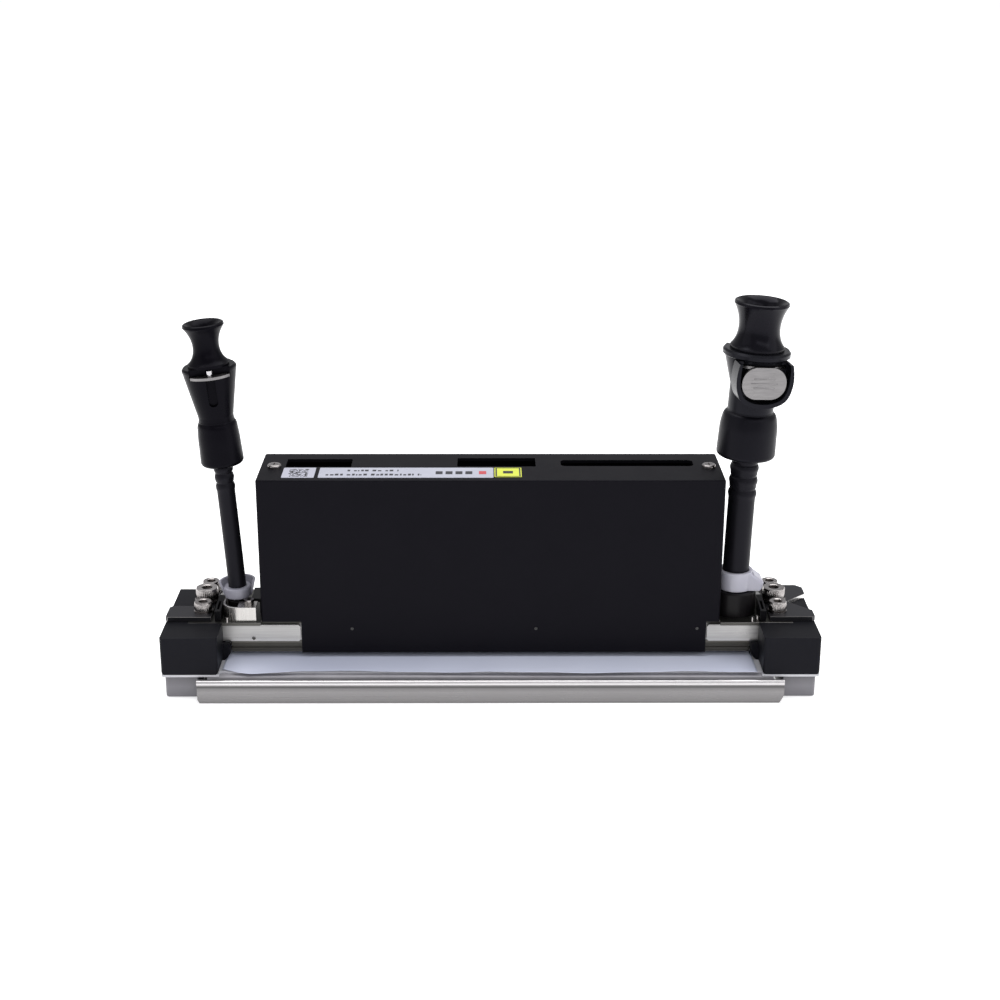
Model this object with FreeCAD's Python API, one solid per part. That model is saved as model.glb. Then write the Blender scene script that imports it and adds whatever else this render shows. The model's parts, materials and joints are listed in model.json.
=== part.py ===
import FreeCAD, Part
import math
import os

from FreeCAD import Vector

# A page-wide piezo print head in its steel service tray, with an ink inlet and an ink outlet coupling.
# Millimetres. +X runs along the head, -Y is the front, +Z is up. The origin is on the tray's underside,
# under the middle of the head.

# Heights above the table
tray_lip_top = 7.4
bead_radius = 0.95
plate_bottom = 7.6
block_bottom = 8.4
stack_bottom = 9.5
frame_bottom = 13.9
flange_bottom = 19.3
flange_top = 20.3
ear_top = 21.8
cover_top = 66.2

# The head along X and Y
ear_tip = 100.0
tray_half_length = 88.9
tray_front = -28.5
tray_rear = 16.5
cover_half_length = 70.5
cover_half_depth = 13.25
cover_wall = 1.0
stack_half_length = 80.3
stack_half_depth = 12.0
frame_half_length = 83.8
block_inner = 82.5
block_front = -26.0
block_rear = 13.5
ear_inner = 86.0
screw_x = 88.9
screw_pitch = 8.5

# The ink connections stand a little in front of the middle plane
ink_y = -4.0

# Slots in the cover's top, as (x from, x to, y from, y to)
cover_slots = [(-62.8, -42.7, -0.4, 7.5), (-10.3, 13.8, 0.1, 8.5), (21.5, 62.3, 0.5, 6.5)]

# One coupling each side. The coupling's own axis is its local Z, from the bottom of its boot, and its
# thumb pad faces local -Y. "turn" turns it about that axis, "tilt" then leans it towards +X.
couplings = {
    "left": {
        "base": Vector(-81.1, ink_y, 67.4), "turn": 189.0, "tilt": -5.0,
        "boot_radius": 6.5, "boot_foot": 1.2, "boot_high": 6.8, "boot_top": 15.2,
        "neck_radius": 5.3, "neck_top": 16.5, "under_collar": 30.4, "under_collar_radius": 8.0,
        "collar_radius": 8.15, "collar_top": 32.0,
        "latch_height": 29.2, "latch_width": 11.6, "latch_far": 7.9,
        "pad_width": 10.4, "pad_height": 8.0, "pad_corner": 3.8, "pad_face": 8.7, "guard_width": 13.6,
        "plug_radius": 3.6, "plug_bore": 2.2, "plug_bottom": 20.4, "plug_skirt": 6.15,
        "plug_waist": 3.95, "plug_disc": 6.2, "plug_top": 45.0,
        "hose_radius": 2.75, "hose_bore": 1.9, "barb_radius": 1.6,
        "hose_route": [Vector(-78.47, ink_y, 25.0), Vector(-80.2, ink_y, 54.0), Vector(-81.62, ink_y, 73.4)],
    },
    "right": {
        "base": Vector(77.0, ink_y, 68.6), "turn": 8.0, "tilt": 3.3,
        "boot_radius": 8.9, "boot_foot": 2.6, "boot_high": 10.0, "boot_top": 17.0,
        "neck_radius": 6.9, "neck_top": 25.0, "under_collar": 33.8, "under_collar_radius": 9.4,
        "collar_radius": 10.1, "collar_top": 36.0,
        "latch_height": 31.9, "latch_width": 14.0, "latch_far": 9.9,
        "pad_width": 13.4, "pad_height": 9.6, "pad_corner": 4.6, "pad_face": 10.5, "guard_width": 17.4,
        "plug_radius": 5.0, "plug_bore": 3.2, "plug_bottom": 24.4, "plug_skirt": 8.1,
        "plug_waist": 6.2, "plug_disc": 8.2, "plug_top": 50.4,
        "hose_radius": 4.1, "hose_bore": 2.8, "barb_radius": 2.4,
        "hose_route": [Vector(75.95, ink_y, 28.2), Vector(76.55, ink_y, 57.0), Vector(77.6, ink_y, 78.6)],
    },
}

# The thumb latch: its bite in the plug's groove and its stroke
latch_thickness = 0.8
latch_bite = 0.4
latch_stroke = 2.2
groove_depth = 0.6
sliding_gap = 0.08


def box(x0, x1, y0, y1, z0, z1):
    return Part.makeBox(x1 - x0, y1 - y0, z1 - z0, Vector(x0, y0, z0))


def post(radius, x, y, z0, z1):
    return Part.makeCylinder(radius, z1 - z0, Vector(x, y, z0))


def rod(radius, start, end):
    along = end.sub(start)
    return Part.makeCylinder(radius, along.Length, start, along)


def slab(points, z0, z1):
    """A flat plate of the given outline, standing from z0 to z1."""
    corners = [Vector(x, y, z0) for x, y in points]
    face = Part.Face(Part.makePolygon(corners + corners[:1]))
    return face.extrude(Vector(0, 0, z1 - z0))


def hexagon(across_flats, x, y, z0, z1):
    radius = across_flats / math.sqrt(3)
    angles = [math.radians(60 * i) for i in range(6)]
    return slab([(x + radius * math.cos(a), y + radius * math.sin(a)) for a in angles], z0, z1)


def group(solids):
    return Part.makeCompound(solids)


def mirrored(shape):
    return shape.mirror(Vector(0, 0, 0), Vector(1, 0, 0))


def edges_along(shape, direction, test):
    """Straight edges parallel to a direction whose middle point passes the test."""
    found = []
    for edge in shape.Edges:
        if not isinstance(edge.Curve, Part.Line):
            continue
        if abs(edge.Curve.Direction.dot(direction)) > 0.999 and test(edge.CenterOfMass):
            found.append(edge)
    return found


along_x = Vector(1, 0, 0)
along_y = Vector(0, 1, 0)
along_z = Vector(0, 0, 1)


def rounded_plate(x0, x1, y0, y1, z0, z1, radius):
    plate = box(x0, x1, y0, y1, z0, z1)
    return plate.makeFillet(radius, edges_along(plate, along_z, lambda p: True))


def turned(start, *steps):
    """A solid of revolution about Z. A step is a (radius, height) point, or a list of points for a smooth curve."""
    here = Vector(start[0], 0, start[1])
    first = here
    edges = []
    for step in steps:
        points = step if isinstance(step, list) else [step]
        path = [here] + [Vector(r, 0, z) for r, z in points]
        if len(path) == 2:
            edges.append(Part.LineSegment(path[0], path[1]).toShape())
        else:
            curve = Part.BSplineCurve()
            curve.interpolate(path)
            edges.append(curve.toShape())
        here = path[-1]
    edges.append(Part.LineSegment(here, first).toShape())
    return Part.Face(Part.Wire(edges)).revolve(Vector(0, 0, 0), along_z, 360)


def save(name, shape):
    shape.exportStep("parts/" + name + ".step")


# The service tray and what lies in it

def base_tray():
    """A folded channel whose front and rear walls end in a rolled bead."""
    tray = box(-tray_half_length, tray_half_length, tray_front + 0.3, tray_rear - 0.3, 0, 1.2)
    for face, inward in ((tray_front, 1), (tray_rear, -1)):
        y0, y1 = sorted((face + 0.3 * inward, face + 1.5 * inward))
        wall = box(-tray_half_length, tray_half_length, y0, y1, 0, tray_lip_top - bead_radius)
        middle = Vector(-tray_half_length, face + bead_radius * inward, tray_lip_top - bead_radius)
        bead = rod(bead_radius, middle, middle + Vector(2 * tray_half_length, 0, 0))
        tray = tray.fuse([wall, bead])
    for side, wide in ((-1, 0.7), (1, 1.3)):
        corner = [(side * (tray_half_length + 1), -1), (side * (tray_half_length + 1), 2.9 * wide / 1.3 + 1.3)]
        corner += [(side * (tray_half_length - wide - 0.5), -1)]
        points = [Vector(x, tray_front - 1, z) for x, z in corner]
        wedge = Part.Face(Part.makePolygon(points + points[:1])).extrude(Vector(0, 60, 0))
        tray = tray.cut(wedge)
    return tray.removeSplitter()


def tray_pad():
    return box(-86, 86, -25.6, 14.0, 1.2, plate_bottom)


def base_plate():
    """A thin plate whose ends reach out under the blocks."""
    plate = rounded_plate(-99.8, 99.8, -26.0, 14.2, plate_bottom, block_bottom, 0.8)
    return plate.cut(box(-82.4, 82.4, -27.0, -23.6, plate_bottom - 1, block_bottom + 1))


def protective_film():
    """A thin film whose free front edge is cut a little unevenly."""
    edge = [(-81.7, -22.6), (-73.0, -25.5), (-58, -24.3), (-34, -24.4), (-8, -24.9), (22, -25.5), (52, -24.9)]
    edge += [(81.0, -25.2)]
    curve = Part.BSplineCurve()
    curve.interpolate([Vector(x, y, block_bottom) for x, y in edge])
    right = Vector(81.0, 12.0, block_bottom)
    left = Vector(-81.7, 12.0, block_bottom)
    front_left = Vector(edge[0][0], edge[0][1], block_bottom)
    front_right = Vector(edge[-1][0], edge[-1][1], block_bottom)
    sides = [Part.LineSegment(front_right, right), Part.LineSegment(right, left)]
    sides += [Part.LineSegment(left, front_left)]
    wire = Part.Wire([curve.toShape()] + [side.toShape() for side in sides])
    return Part.Face(wire).extrude(Vector(0, 0, 0.3))


def plinth():
    """The right-hand foot beyond the tray's end; the left one is its mirror image."""
    foot = box(tray_half_length + 0.1, 99.2, -23.8, 9.0, 0, plate_bottom)
    outer = edges_along(foot, along_z, lambda p: p.x > 98)
    return foot.makeFillet(1.2, outer)


# The print engine

def stack_layer(z0, z1, inset):
    length = stack_half_length - inset
    depth = stack_half_depth - inset
    return box(-length, length, -depth, depth, z0, z1)


def cavity_plates():
    heights = [stack_bottom + 0.3 + 0.7 * i for i in range(4)]
    insets = [0.25, 0.0, 0.3, 0.05]
    return group([stack_layer(z, z + 0.7, inset) for z, inset in zip(heights, insets)])


def manifold_plate():
    plate = stack_layer(stack_bottom + 3.1, frame_bottom, 0.15)
    for y in (-9.0, 9.0):
        plate = plate.cut(box(-58, 58, y - 0.6, y + 0.6, stack_bottom + 3.0, frame_bottom + 0.1))
    return plate


def head_frame():
    """The stainless bar, with pads at its ends that stand flush with the cover's flap."""
    frame = box(-frame_half_length, frame_half_length, -12.15, 12.15, frame_bottom, flange_bottom)
    for x0, x1 in ((-frame_half_length, -58.6), (66.7, frame_half_length)):
        for front in (-1, 1):
            y0, y1 = sorted((front * 12.0, front * cover_half_depth))
            pad = box(x0, x1, y0, y1, frame_bottom, flange_bottom)
            inner = -58.6 if x0 < 0 else 66.7
            ends = edges_along(pad, along_y, lambda p: abs(p.x - inner) < 0.1)
            frame = frame.fuse(pad.makeChamfer(0.6, ends))
    frame = frame.cut(box(-60, 60, -10.4, 10.4, frame_bottom - 1, flange_bottom + 1))
    # A tooling hole in the lower front edge of the left pad
    frame = frame.cut(rod(0.6, Vector(-73.1, -14, 14.9), Vector(-73.1, -11.8, 14.9)))
    return frame.removeSplitter()


def head_flange():
    plate = box(-93, 93, -12.15, 13.2, flange_bottom, flange_top)
    for side in (-1, 1):
        x0, x1 = sorted((side * 70.7, side * 93))
        plate = plate.fuse(box(x0, x1, -14.0, -12.0, flange_bottom, flange_top))
    plate = plate.cut(box(-60, 60, -10.4, 12.0, flange_bottom - 1, flange_top + 1))
    # The rear flap hangs behind the flange, and the six ear screws pass through it
    plate = plate.cut(box(-70.6, 70.6, 12.15, 14, flange_bottom - 1, flange_top + 1))
    for x, y, radius in ear_screw_places():
        plate = plate.cut(post(radius + 0.1, x, y, 0, 40))
    return plate.removeSplitter()


def flex_circuits():
    """Two flexible circuits that rise from the stack to the boards with one gentle step each."""
    sheets = []
    for y_low, y_high, thick in ((-9.0, -4.3, -0.3), (9.0, 11.1, 0.3)):
        points = [(y_low, frame_bottom - 1.2), (y_low, 20.4), (y_high, 22.6), (y_high, 30.0)]
        outline = [Vector(-56, y, z) for y, z in points]
        outline += [Vector(-56, y + thick, z) for y, z in reversed(points)]
        face = Part.Face(Part.makePolygon(outline + outline[:1]))
        sheets.append(face.extrude(Vector(112, 0, 0)))
    return group(sheets)


def driver_board(y0, y1):
    board = box(-62, 62, y0, y1, 23.0, 58.0)
    for x, z in board_spacer_places():
        board = board.cut(rod(1.2, Vector(x, y0 - 1, z), Vector(x, y1 + 1, z)))
    return board


def board_spacer_places():
    return [(x, z) for x in (-58, 58) for z in (27.0, 41.0)]


def driver_chips():
    chips = []
    for i in range(8):
        x = -49 + 14 * i
        chips.append(box(x - 4, x + 4, -2.6, -1.6, 33, 41))
        chips.append(box(x - 4, x + 4, 8.4, 9.4, 33, 41))
    return group(chips)


def board_connectors():
    """A socket under each slot of the cover, open towards the slot."""
    sockets = []
    for x0, x1, y0, y1 in cover_slots:
        middle = (y0 + y1) / 2 + 0.1
        body = box(x0 + 0.5, x1 - 0.5, max(middle - 3.4, -1.5), middle + 2.9, 44.0, 58.0)
        hollow = box(x0 + 1.5, x1 - 1.5, middle - 2.3, middle + 2.1, 47.0, 59.0)
        # A foot reaches back to the front board, which carries the socket
        foot = box(x0 + 0.5, x1 - 0.5, -2.6, middle, 44.0, 46.5)
        sockets.append(body.cut(hollow).fuse(foot).removeSplitter())
    return group(sockets)


def heat_spreader():
    plate = box(-62, 62, -8.6, -6.6, 24.0, 60.0)
    for x0, x1 in ((-62, -60.2), (60.2, 62)):
        plate = plate.fuse(box(x0, x1, -8.6, -6.6, flange_top, 24.5))
    pads = [box(x - 3, x + 3, -6.6, -4.2, 34, 40) for x in (-42, -14, 14, 42)]
    for pad in pads:
        plate = plate.fuse(pad)
    return plate.removeSplitter()


def posts_and_spacers():
    """Two hexagonal posts that carry the cover, and four spacers between the two boards."""
    posts = []
    for x, y in cover_screw_places():
        stud = hexagon(4.5, x, y, flange_top, cover_top - cover_wall)
        posts.append(stud.cut(post(0.85, x, y, cover_top - 9, cover_top)))
    for x, z in board_spacer_places():
        posts.append(rod(2.0, Vector(x, -2.6, z), Vector(x, 9.4, z)))
    return group(posts)


def cover_screw_places():
    return [(-66.1, -0.7), (66.7, -0.7)]


def top_cover():
    """A thin folded box, open below, with a flap front and rear that reaches over the frame bar."""
    outer = box(-cover_half_length, cover_half_length, -cover_half_depth, cover_half_depth, flange_top, cover_top)
    outer = outer.makeFillet(0.7, edges_along(outer, along_z, lambda p: True))
    outer = outer.makeFillet(0.5, [e for e in outer.Edges if e.CenterOfMass.z > cover_top - 0.01])
    cover = outer
    for side in (-1, 1):
        y0, y1 = sorted((side * (cover_half_depth - cover_wall), side * cover_half_depth))
        flap = box(-58.3, 66.4, y0, y1, 10.1, flange_top + 1)
        cover = cover.fuse(flap)
    wall = cover_wall
    cover = cover.cut(box(-cover_half_length + wall, cover_half_length - wall, -cover_half_depth + wall,
                          cover_half_depth - wall, 0, cover_top - wall))
    for x0, x1, y0, y1 in cover_slots[:2]:
        cover = cover.cut(rounded_plate(x0, x1, y0, y1, cover_top - 3, cover_top + 3, 0.5))
    x0, x1, y0, y1 = cover_slots[2]
    cover = cover.cut(rounded_plate(x0, x1, y0, y1, cover_top - 3, cover_top + 3, 1.6))
    for x, y in cover_screw_places():
        cover = cover.cut(post(1.0, x, y, cover_top - 3, cover_top + 3))
    for x in flap_pin_places():
        cover = cover.cut(rod(0.5, Vector(x, -15, 18.0), Vector(x, -12, 18.0)))
    return cover.removeSplitter()


def cover_screws():
    screws = []
    for x, y in cover_screw_places():
        head = post(2.1, x, y, cover_top, cover_top + 1.1)
        head = head.makeFillet(0.5, [e for e in head.Edges if e.CenterOfMass.z > cover_top + 1.0])
        head = head.cut(box(x - 1.1, x + 1.1, y - 0.2, y + 0.2, cover_top + 0.6, cover_top + 2))
        head = head.cut(box(x - 0.2, x + 0.2, y - 1.1, y + 1.1, cover_top + 0.6, cover_top + 2))
        screws.append(head.fuse(post(0.8, x, y, cover_top - 7, cover_top)).removeSplitter())
    return group(screws)


def flap_pin_places():
    return [-42.7, 13.9, 63.6]


def flap_pins():
    return group([rod(0.45, Vector(x, -13.3, 18.0), Vector(x, -12.2, 18.0)) for x in flap_pin_places()])


def label(x0, x1, y0, y1):
    return rounded_plate(x0, x1, y0, y1, cover_top, cover_top + 0.12, 0.3)


# The ends

def ear_screw_places():
    """Where the six ear screws stand, with each shank's radius."""
    places = []
    for x in (-screw_x, screw_x):
        places.append((x, -screw_pitch, 1.5))
        places.append((x, 0.0, 2.0))
        places.append((x, screw_pitch, 1.5))
    return places


def end_block():
    """The right-hand block. A foot on its inner side carries the end of the frame bar."""
    block = box(block_inner, ear_tip - 0.2, block_front, block_rear, block_bottom, flange_top)
    corners = edges_along(block, along_z, lambda p: p.y < 0)
    corners += edges_along(block, along_y, lambda p: p.z < block_bottom + 0.1)
    block = block.makeFillet(1.0, corners)
    corners = [(block_inner + 0.5, block_bottom), (82.0, block_bottom), (80.3, 10.4)]
    corners += [(80.3, frame_bottom - 0.1), (block_inner + 0.5, frame_bottom - 0.1)]
    points = [Vector(x, -15.4, z) for x, z in corners]
    foot = Part.Face(Part.makePolygon(points + points[:1])).extrude(Vector(0, 2.0, 0))
    block = block.fuse(foot)
    block = block.cut(box(block_inner - 1, frame_half_length + 0.1, -13.4, block_rear + 1, 0, 40))
    block = block.cut(box(block_inner - 1, 93.1, -14.1, block_rear + 1, flange_bottom, 40))
    for x, y, radius in ear_screw_places():
        if x > 0:
            block = block.cut(post(radius + 0.1, x, y, 11.0, 40))
    return block.removeSplitter()


def ear_plate(outline):
    plate = slab(outline, flange_top, ear_top)
    for x, y, radius in ear_screw_places():
        plate = plate.cut(post(radius + 0.15, x, y, 0, 40))
    return plate


def ear_plate_right():
    """The plate with the V datum in its outer edge."""
    outline = [(ear_inner, -13.0), (99.2, -13.0), (ear_tip, -12.2), (ear_tip, -7.6), (98.6, -6.3), (93.0, -0.6)]
    outline += [(99.2, 5.0), (99.9, 5.8), (99.9, 11.0), (98.0, 13.0), (ear_inner, 13.0)]
    return ear_plate(outline)


def ear_plate_left():
    """The plate with the flat datum: only its front part reaches the outer edge."""
    outline = [(-ear_inner, -13.0), (-99.4, -13.0), (-ear_tip, -12.4), (-ear_tip, -5.0), (-99.0, -4.0)]
    outline += [(-92.6, -4.0), (-92.6, 13.0), (-ear_inner, 13.0)]
    return ear_plate(outline)


def socket_screw(x, y, head_radius, head_height, shank_radius, key, seat):
    """A socket cap screw: knurled head with a hexagon key recess."""
    head = post(head_radius, x, y, seat, seat + head_height)
    rim = [e for e in head.Edges if e.CenterOfMass.z > seat + head_height - 0.01]
    head = head.makeFillet(0.35, rim)
    head = head.cut(hexagon(key, x, y, seat + head_height * 0.45, seat + head_height + 1))
    return head.fuse(post(shank_radius, x, y, 11.5, seat)).removeSplitter()


def ear_screws_small():
    screws = []
    for x in (-screw_x, screw_x):
        for y in (-screw_pitch, screw_pitch):
            screws.append(socket_screw(x, y, 2.75, 3.0, 1.5, 2.5, ear_top + 0.6))
    return group(screws)


def ear_screws_large():
    return group([socket_screw(x, 0, 3.5, 4.0, 2.0, 3.0, ear_top + 0.8) for x in (-screw_x, screw_x)])


def ear_washers():
    washers = []
    for x, y, radius in ear_screw_places():
        outer, thick = (3.9, 0.8) if radius > 1.8 else (2.9, 0.6)
        ring = post(outer, x, y, ear_top, ear_top + thick)
        washers.append(ring.cut(post(radius + 0.1, x, y, ear_top - 1, ear_top + 2)))
    return group(washers)


# The fittings that the ink nipples stand on

def nipple_foot(side):
    return couplings[side]["hose_route"][0].x


def fitting_base(side, radius, top):
    x = nipple_foot(side)
    base = post(radius, x, ink_y, flange_top, top)
    base = base.makeFillet(0.5, [e for e in base.Edges if e.CenterOfMass.z > top - 0.01])
    # Beside the cover the base is flat
    inner = cover_half_length + 0.1
    base = base.cut(box(-inner, inner, -30, 30, 0, 60))
    return base.cut(post(1.35, x, ink_y, flange_top - 1, top + 1))


def fitting_guard_left():
    """A bent stainless strip that stands round the front of the left fitting."""
    front, back, end, left, radius = -13.0, 3.0, -72.1, -82.6, 4.8
    bend = Vector(left + radius, front + radius, flange_top)
    solid = slab([(end, front), (bend.x, front), (bend.x, front + 0.6), (end, front + 0.6)], flange_top, 24.9)
    # Its top is folded in over the front of the fitting
    fold = box(bend.x, end, front, -7.7, 24.3, 24.9)
    solid = solid.fuse(fold.cut(post(0.75, -74.6, -9.3, 24, 26)))
    solid = solid.fuse(slab([(left, bend.y), (left + 0.6, bend.y), (left + 0.6, back), (left, back)],
                            flange_top, 24.9))
    corner = Part.makeCylinder(radius, 24.9 - flange_top, bend, along_z, 90)
    corner = corner.cut(Part.makeCylinder(radius - 0.6, 24.9 - flange_top, bend, along_z, 90))
    corner.rotate(bend, along_z, 180)
    return solid.fuse(corner).removeSplitter()


def fitting_bracket(side):
    """A dark upright rib between the fitting and the ear screws, lower towards the back."""
    x0, x1 = 82.9, 84.9
    points = [Vector(x0, -12.8, flange_top), Vector(x0, 9.0, flange_top), Vector(x0, 9.0, flange_top + 1.6)]
    points += [Vector(x0, -2.0, flange_top + 4.4), Vector(x0, -12.8, flange_top + 3.4)]
    rib = Part.Face(Part.makePolygon(points + points[:1])).extrude(Vector(x1 - x0, 0, 0))
    rib = rib.cut(box(x0 + 0.7, x1 - 0.7, -11.4, -6.0, flange_top + 1.2, flange_top + 9))
    return rib if side == "right" else mirrored(rib)


def fitting_fasteners():
    """The small screw beside the left fitting and the bright pins at the flange's front edge."""
    head = post(1.5, -74.6, -9.3, 24.9, 26.3)
    head = head.cut(hexagon(1.4, -74.6, -9.3, 25.6, 27))
    pins = [head.fuse(post(0.7, -74.6, -9.3, flange_top, 24.9))]
    for x, y in ((-81.0, -13.5), (80.6, -13.3), (82.2, -12.4)):
        pins.append(post(0.45, x, y, flange_top, flange_top + 1.6))
    return group(pins)


def fitting_tab_left():
    plate = box(-74.4, -cover_half_length - 0.05, -6.4, 3.0, 24.0, 25.2)
    upright = box(-71.7, -cover_half_length - 0.05, -6.4, 3.0, flange_top, 24.1)
    return plate.fuse(upright).removeSplitter()


def barbs(radius, start, end):
    """A solid barbed rod from start to end, its sharp edges facing the end."""
    length = end.sub(start).Length
    pitch = length / 3
    steps = [(radius - 0.3, 0)]
    for i in range(3):
        steps.append((radius, pitch * (i + 0.15)))
        steps.append((radius - 0.3, pitch * (i + 1)))
    rod_shape = turned((0, 0), *steps, (0, length))
    rod_shape.Placement = FreeCAD.Placement(start, FreeCAD.Rotation(along_z, end.sub(start)))
    return rod_shape


def ball(radius, centre):
    return Part.makeSphere(radius, centre)


def ink_nipple(side):
    """A straight stem out of the fitting that leans over into a barbed end."""
    data = couplings[side]
    low, middle = data["hose_route"][0], data["hose_route"][1]
    along = middle.sub(low)
    along.normalize()
    tip = low + along * 8.0
    foot = Vector(low.x, low.y, flange_top)
    outside = rod(1.2, foot, low).fuse(ball(1.2, low)).fuse(barbs(data["barb_radius"], tip, low))
    bore = rod(0.7, foot, low).fuse(ball(0.7, low)).fuse(rod(0.7, low, tip + along))
    return outside.cut(bore).removeSplitter()


# Hoses, clips and couplings

def hose(side):
    """Straight runs joined by a tangent arc, with the bore left open."""
    data = couplings[side]
    low, bend, high = data["hose_route"]
    first, second = bend.sub(low), high.sub(bend)
    half_turn = first.getAngle(second) / 2
    shorter = min(first.Length, second.Length)
    radius = 0.45 * shorter / math.tan(half_turn)
    print("hose_" + side, "bend radius", round(radius, 1), "length", round(first.Length + second.Length, 1))
    back = 0.45 * shorter
    enter = bend - Vector(first).normalize() * back
    leave = bend + Vector(second).normalize() * back
    inward = (Vector(second).normalize() - Vector(first).normalize()).normalize()
    middle = bend + inward * (radius / math.cos(half_turn) - radius)
    edges = [Part.LineSegment(low, enter), Part.Arc(enter, middle, leave), Part.LineSegment(leave, high)]
    path = Part.Wire([edge.toShape() for edge in edges])
    outer = Part.Wire(Part.Circle(low, first, data["hose_radius"]).toShape())
    inner = Part.Wire(Part.Circle(low, first, data["hose_bore"]).toShape())
    solid = path.makePipeShell([outer], True, True).cut(path.makePipeShell([inner], True, True))
    section = math.pi * (data["hose_radius"] ** 2 - data["hose_bore"] ** 2)
    print("hose_" + side, "volume", round(solid.Volume, 1), "section x length", round(section * path.Length, 1))
    return solid


def hose_clip_left():
    """A nylon ring round the hose, with a flared half cup standing behind it."""
    data = couplings["left"]
    low, bend = data["hose_route"][0], data["hose_route"][1]
    hole = data["hose_radius"] + 0.05
    ring = turned((hole, 0.25), (3.6, 0.25), (4.1, 0.65), (4.2, 3.4), (3.9, 3.8), (hole, 3.8))
    cup = turned((hole, 0.25), (3.6, 0.25), (4.3, 0.75), (5.7, 5.4), (5.0, 5.4), (3.75, 1.5), (hole, 1.5))
    cup = cup.cut(box(-9, 9, -9, -0.6, -1, 9))
    clip = ring.fuse(cup).removeSplitter()
    clip.Placement = FreeCAD.Placement(low, FreeCAD.Rotation(along_z, bend.sub(low)))
    return clip


def hose_clip_right():
    """A one-piece nylon clip: a band round the hose, with its jaws in one lug beside it."""
    data = couplings["right"]
    x = data["hose_route"][0].x + 0.05
    low, high = 28.3, 34.2
    band = post(5.2, x, ink_y, low, high)
    corners = [(x + 1, low), (83.7, low), (84.6, low + 2.6), (82.6, low + 4.1), (x + 4.4, high), (x + 1, high)]
    points = [Vector(px, ink_y - 3.9, pz) for px, pz in corners]
    lug = Part.Face(Part.makePolygon(points + points[:1])).extrude(Vector(0, 7.8, 0))
    lug = lug.makeFillet(1.0, [edge for edge in lug.Edges if edge.CenterOfMass.x > 83 or
                               abs(edge.CenterOfMass.y - ink_y) > 3 and edge.CenterOfMass.x > x + 5])
    for i in range(3):
        gap = x + 4.9 + 0.9 * i
        lug = lug.cut(box(gap, gap + 0.35, -20, 20, high - 1.0, high + 1))
    bore = rod(data["hose_radius"] + 0.12, data["hose_route"][0] - along_z, data["hose_route"][1])
    return band.fuse(lug).cut(bore).removeSplitter()


def in_place(shape, side):
    """Move a piece of a coupling from the coupling's own axes to the head's."""
    data = couplings[side]
    turn = FreeCAD.Rotation(along_z, data["turn"])
    tilt = FreeCAD.Rotation(along_y, data["tilt"])
    shape.Placement = FreeCAD.Placement(data["base"], tilt * turn)
    return shape


def coupling_barb(side):
    """The tube that the hose is pushed over, inside the boot."""
    data = couplings[side]
    low, high = data["hose_route"][1], data["hose_route"][2]
    along = high.sub(low)
    along.normalize()
    tip = high - along * 8.0
    bore = rod(data["barb_radius"] - 0.9, tip - along, high + along)
    return barbs(data["barb_radius"], tip, high).cut(bore)


def coupling_boot(side):
    """The round nut that closes over the hose's end, with a rounded shoulder up to the body's neck."""
    d = couplings[side]
    r, foot, high, top = d["boot_radius"], d["boot_foot"], d["boot_high"], d["boot_top"]
    hole = d["hose_radius"] + 0.35
    neck = d["neck_radius"] + 0.1
    rise = top - 0.4 - high
    shoulder = []
    for degrees in (20, 45, 70, 90):
        angle = math.radians(degrees)
        shoulder.append((neck + (r - 0.15 - neck) * math.cos(angle), high + rise * math.sin(angle)))
    boot = turned((hole, foot + 0.3), (r - 0.9, foot), [(r - 0.25, foot + 0.45), (r, foot + 1.3)],
                  (r - 0.15, high), shoulder,
                  (neck, top), (hole, top))
    return in_place(boot, side)


def latch_outline(d):
    """The space that the latch plate sweeps, a little larger than the plate."""
    half = d["latch_width"] / 2 + 0.2
    low = d["latch_height"] - 0.15
    return box(-half, half, -20, 20, low, low + latch_thickness + 0.3)


def shield(half, low, high, y0, y1):
    """A solid with a shield outline in XZ: slightly bulging sides that close in to a round bottom."""
    tall = high - low
    side = [(half - 0.6, high), (half, low + 0.70 * tall), (half - 0.25, low + 0.45 * tall)]
    side += [(half * 0.78, low + 0.17 * tall), (half * 0.42, low + 0.035 * tall)]
    path = side + [(0, low)] + [(-x, z) for x, z in reversed(side)]
    curve = Part.BSplineCurve()
    curve.interpolate([Vector(x, y0, z) for x, z in path])
    closing = Part.LineSegment(Vector(path[-1][0], y0, high), Vector(path[0][0], y0, high))
    return Part.Face(Part.Wire([curve.toShape(), closing.toShape()])).extrude(Vector(0, y1 - y0, 0))


def thumb_guard(d):
    """A shield-shaped wall round the thumb pad, open where the latch plate leaves the body."""
    half = d["guard_width"] / 2
    top = d["latch_height"] + latch_thickness
    low = top - d["pad_height"] - 2.6
    outer = shield(half, low, top + 1.0, -d["pad_face"] - 0.7, -d["neck_radius"] + 1.5)
    wall = 1.2
    back = -d["neck_radius"] - 0.25
    open_space = shield(half - wall, low + wall, top + 3.0, -20, back)
    plate_space = shield(half - wall, low + wall, top + 0.15, -20, back)
    return outer.cut(open_space), plate_space


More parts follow.
